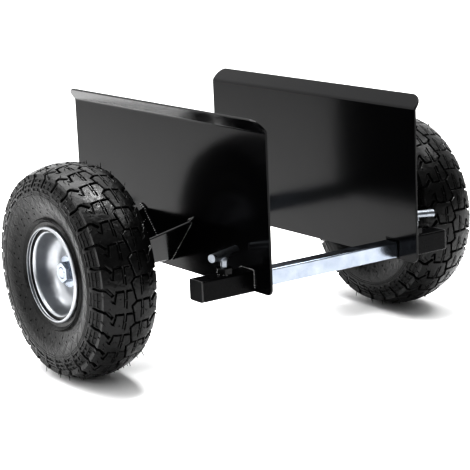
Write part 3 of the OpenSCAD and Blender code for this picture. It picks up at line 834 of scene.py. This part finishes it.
# Below the sidewall the tyre turns in under the rim's lip to its bead, and back up inside: points
# in mm, outboard from the tyre's middle and out from the axle.
BEAD = [(36.0, 66.5), (34.6, 65.0), (32.4, 63.2), (31.9, 59.6), (31.6, 51.4), (21.0, 51.4),
        (21.0, 60.0), (33.0, 78.0), (36.0, 96.0), (31.0, 112.0), (16.0, 119.5)]
rings_inside = []
for way, shift in ROWS.items():
    wall, wall_faces = pitch_patch(side_lines(shift - GAP_BACK), (0, SIDE_END), 16)
    wall = [(spot, sunk + sink(spot.x)) for spot, sunk in wall]
    begin = keep(wall, wall_faces, on_side, way)
    bridge(border(crown, first, way * BAND), border(wall, begin, 0))
    last_ring = border(wall, begin, SIDE_END)
    alongs = [PITCH * k / STEPS_ALONG for k in range(STEPS_ALONG + 1)]
    for out, rad in BEAD:
        ring_start = len(tyre_points)
        tyre_points.extend(place(way * out * MM, rad * MM, along) for along in alongs)
        new_ring = list(range(ring_start, len(tyre_points)))
        bridge(last_ring, new_ring)
        last_ring = new_ring
    rings_inside.append(last_ring)
bridge(rings_inside[0], rings_inside[1])

# Carbon-black rubber fresh from the mould: nearly black, matt to satin, faintly mottled, with soft
# creases in its skin.
tyre_rubber, tree, shader, where = finish(
    "moulded_tyre_rubber", Roughness=0.35, Specular_IOR_Level=0.26)
mottle = add(tree, "ShaderNodeTexNoise", {"Vector": where, "Scale": 1 / (9 * MM), "Detail": 5})
skin = add(tree, "ShaderNodeTexNoise", {"Vector": where, "Scale": 1 / (0.9 * MM), "Detail": 3})
rubber_tint = add(tree, "ShaderNodeMix",
                  {0: mottle.outputs["Fac"], 6: colour("040404"), 7: colour("0B0B0B")},
                  data_type="RGBA")
rubber_gloss = add(tree, "ShaderNodeMapRange",
                   {"Value": mottle.outputs["Fac"], "To Min": 0.24, "To Max": 0.4})
crease = add(tree, "ShaderNodeTexNoise", {"Vector": where, "Scale": 1 / (5 * MM), "Detail": 2})
crease_bump = add(tree, "ShaderNodeBump",
                  {"Height": crease.outputs["Fac"], "Strength": 0.7, "Distance": 0.9 * MM})
skin_bump = add(tree, "ShaderNodeBump",
                {"Height": skin.outputs["Fac"], "Strength": 0.5, "Distance": 0.1 * MM,
                 "Normal": crease_bump.outputs["Normal"]})
tree.links.new(rubber_tint.outputs[2], shader.inputs["Base Color"])
tree.links.new(rubber_gloss.outputs["Result"], shader.inputs["Roughness"])
tree.links.new(skin_bump.outputs["Normal"], shader.inputs["Normal"])


# A peg is six-sided, with its top this share of its foot, and goes this far into the rubber.
PEG_SIDES = 6
PEG_TAPER = 0.55
PEG_ROOT = 0.8 * MM


def peg(out, rad, along, size, tall):
    """A tapered rubber peg standing on the tyre, as points and faces."""
    points = []
    for reach, up in ((size, -PEG_ROOT), (size, 0), (size * PEG_TAPER, tall)):
        for k in range(PEG_SIDES):
            at = 2 * math.pi * k / PEG_SIDES
            points.append(place(out + reach * math.cos(at), rad + up, along + reach * math.sin(at)))
    faces = []
    for below in (0, PEG_SIDES):
        above = below + PEG_SIDES
        for k in range(PEG_SIDES):
            after = (k + 1) % PEG_SIDES
            faces.append([below + k, below + after, above + after, above + k])
    faces.append(list(range(2 * PEG_SIDES, 3 * PEG_SIDES)))
    faces.append(list(range(PEG_SIDES))[::-1])
    return points, faces


def pegs(name, spots, side, lean, seed, count=PITCHES):
    """Rings of pegs, from spots of (mm outboard, mm from the axle, share of a pitch, radius, height).

    They are the nibs between the blocks, and the nubs and whiskers that the mould's vents leave."""
    points, faces = [], []
    for out, rad, along, size, tall in spots:
        more, more_faces = peg(out * MM, rad * MM, along * PITCH, size * MM, tall * MM)
        faces += [[len(points) + k for k in face] for face in more_faces]
        points += more
    piece = round_the_axle(name, points, faces, count, tyre_rubber, side, lean, seed)
    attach(piece, f"wheel_{side}")


for side in SIDES:
    tyre = round_the_axle(
        f"tyre_{side}_moulded", tyre_points, tyre_faces, PITCHES, tyre_rubber, side, smooth=24)
    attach(tyre, f"wheel_{side}")
    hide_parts(f"tyre_{side}")
    pegs(f"tread_nibs_{side}",
         [(11.4, 128.6, 0.63, 1.5, 1.1), (-11.4, 128.6, 0.13, 1.5, 1.1)], side, lean=0.0, seed=2)
    nubs = ((17.5, 127.4, 0.55, 2.4), (29.5, 123.4, 0.95, 3.0), (36.4, 117.6, 0.4, 3.4))
    pegs(f"vent_nubs_{side}",
         [(way * out, rad, (along + (0 if way > 0 else 0.5)) % 1, 0.55, tall)
          for way in (1, -1) for out, rad, along, tall in nubs],
         side, lean=0.05, seed=4)
    whiskers = ((35.8, 119.6, 0.2, 7.5), (31.5, 122.2, 1.3, 5.5))
    pegs(f"vent_whiskers_{side}",
         [(way * out, rad, along, 0.6, tall)
          for way in (1, -1) for out, rad, along, tall in whiskers],
         side, lean=0.12, seed=6, count=13)

# ---- Inner tube and valve ----
# A butyl tube fills each tyre, and its rubber-covered valve comes through the inner half of the rim
# under a plastic cap.
butyl, tree, shader, where = finish("butyl_tube_rubber", Roughness=0.55)
tube_cloud = add(tree, "ShaderNodeTexNoise", {"Vector": where, "Scale": 1 / (5 * MM), "Detail": 3})
tube_tint = add(tree, "ShaderNodeMix",
                {0: tube_cloud.outputs["Fac"], 6: colour("101011"), 7: colour("1C1C1D")},
                data_type="RGBA")
tree.links.new(tube_tint.outputs[2], shader.inputs["Base Color"])
for side in SIDES:
    node = frame["nodes"][f"inner_tube_{side}"]
    node.data.materials.clear()
    node.data.materials.append(butyl)
    eased(f"valve_stem_{side}", 0.2 * MM, butyl, smooth=40)
    eased(f"valve_cap_{side}", 0.4 * MM, plug_black, smooth=40)

# ---- Clamp screws ----
# Four M10 screws press on the cross tubes. Each has a plain 10 mm bar across its top, held by a
# weld collar, and all of it is zinc plated.

# Zinc over turned bar: a copy of the tubes' zinc tinted greyer and darker, painted shade standing in
# for the dim reflections on the screws, and duller, with soft random smears.
shade_darkened_zinc, tree, shader, where = finish("shade_darkened_zinc_plate", Metallic=1, Roughness=0.3)
smears = add(tree, "ShaderNodeTexNoise", {"Vector": where, "Scale": 1 / (5 * MM), "Detail": 4})
# The tint is painted darker than on the tubes as painted shade; the smears vary it at random.
shade_darkened_tint = add(tree, "ShaderNodeMix",
                {0: smears.outputs["Fac"], 6: colour("64686D"), 7: colour("94989D")}, data_type="RGBA")
dull_gloss = add(tree, "ShaderNodeMapRange",
                 {"Value": smears.outputs["Fac"], "To Min": 0.2, "To Max": 0.4})
tree.links.new(shade_darkened_tint.outputs[2], shader.inputs["Base Color"])
tree.links.new(dull_gloss.outputs["Result"], shader.inputs["Roughness"])
for side in SIDES:
    for end in ("front", "rear"):
        eased(f"clamp_spindle_{end}_{side}", 0.2 * MM, shade_darkened_zinc, smooth=40)
        eased(f"clamp_bar_{end}_{side}", 0.4 * MM, shade_darkened_zinc, smooth=40)
